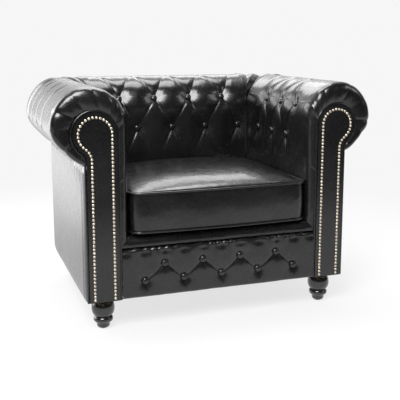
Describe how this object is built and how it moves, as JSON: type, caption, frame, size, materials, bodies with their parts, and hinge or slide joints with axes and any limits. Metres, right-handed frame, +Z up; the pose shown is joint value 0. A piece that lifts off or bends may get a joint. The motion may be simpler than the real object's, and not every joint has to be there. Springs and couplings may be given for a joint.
{
  "type": "chesterfield armchair",
  "caption": "Low armchair with rolled, button-tufted arms and back of equal height, a loose box cushion, nail-trimmed arm facings and turned front feet.",
  "frame": {"origin": "on the floor, under the middle of the overall width and depth", "axes": "+Z up; the front faces -Y; +X to the right as seen from the front"},
  "size_m": [0.9918, 0.7118, 0.7],
  "materials": {
    "black_leather": "glossy coated black leather with fine wrinkles",
    "button_leather": "glossy coated black leather drawn over a button",
    "nail_brass": "pale brass, polished and lightly aged",
    "plywood": "raw birch plywood",
    "hardboard": "brown hardboard",
    "frame_timber": "planed pine",
    "black_wood": "black lacquered hardwood",
    "zinc_steel": "zinc plated",
    "spring_steel": "oiled spring steel",
    "glide_plastic": "black nylon",
    "black_cloth": "spun-bonded black cloth",
    "foam": "cream upholstery foam",
    "zip_tape": "black nylon zip",
    "zip_metal": "black metal"
  },
  "bodies": {
    "chair": {"apron_buttons": "button_leather", "apron_pad": "black_leather", "arm_buttons_left": "button_leather", "arm_buttons_right": "button_leather", "arm_facing_left": "black_leather", "arm_facing_right": "black_leather", "arm_former_left": "plywood", "arm_former_right": "plywood", "arm_lining_left": "hardboard", "arm_lining_right": "hardboard", "arm_pad_left": "black_leather", "arm_pad_right": "black_leather", "arm_stump_left": "plywood", "arm_stump_right": "plywood", "arm_tack_rail_left": "frame_timber", "arm_tack_rail_right": "frame_timber", "arm_top_rail_left": "frame_timber", "arm_top_rail_right": "frame_timber", "back_buttons": "button_leather", "back_former_left": "plywood", "back_former_middle": "plywood", "back_former_right": "plywood", "back_lining": "hardboard", "back_pad": "black_leather", "back_rail": "frame_timber", "back_top_rail": "frame_timber", "corner_blocks": "frame_timber", "deck_cloth": "black_cloth", "deck_pad": "foam", "dust_cover": "black_cloth", "facing_nails_left": "nail_brass", "facing_nails_right": "nail_brass", "facing_welt_left": "black_leather", "facing_welt_right": "black_leather", "foot_bolts": "zinc_steel", "foot_glides": "glide_plastic", "foot_nuts": "zinc_steel", "foot_plates": "zinc_steel", "front_foot_left": "black_wood", "front_foot_right": "black_wood", "front_rail": "frame_timber", "outside_arm_left": "black_leather", "outside_arm_right": "black_leather", "outside_back": "black_leather", "rear_foot_left": "black_wood", "rear_foot_right": "black_wood", "rear_post_left": "frame_timber", "rear_post_right": "frame_timber", "seat_lip": "black_leather", "seat_springs": "spring_steel", "side_rail_left": "frame_timber", "side_rail_right": "frame_timber", "spring_clips": "zinc_steel"},
    "cushion": {"cushion_case": "black_leather", "cushion_foam": "foam", "cushion_welt_bottom": "black_leather", "cushion_welt_top": "black_leather", "cushion_zip": "zip_tape"},
    "zip_pull": {"zip_slider": "zip_metal"}
  },
  "joints": [
    {"name": "cushion_lift", "type": "slide", "parent": "chair", "child": "cushion", "axis": [0, 0, 1], "range_m": [0, 0.45]},
    {"name": "zip_slide", "type": "slide", "parent": "cushion", "child": "zip_pull", "axis": [1, 0, 0], "range_m": [0, 0.38]}
  ]
}
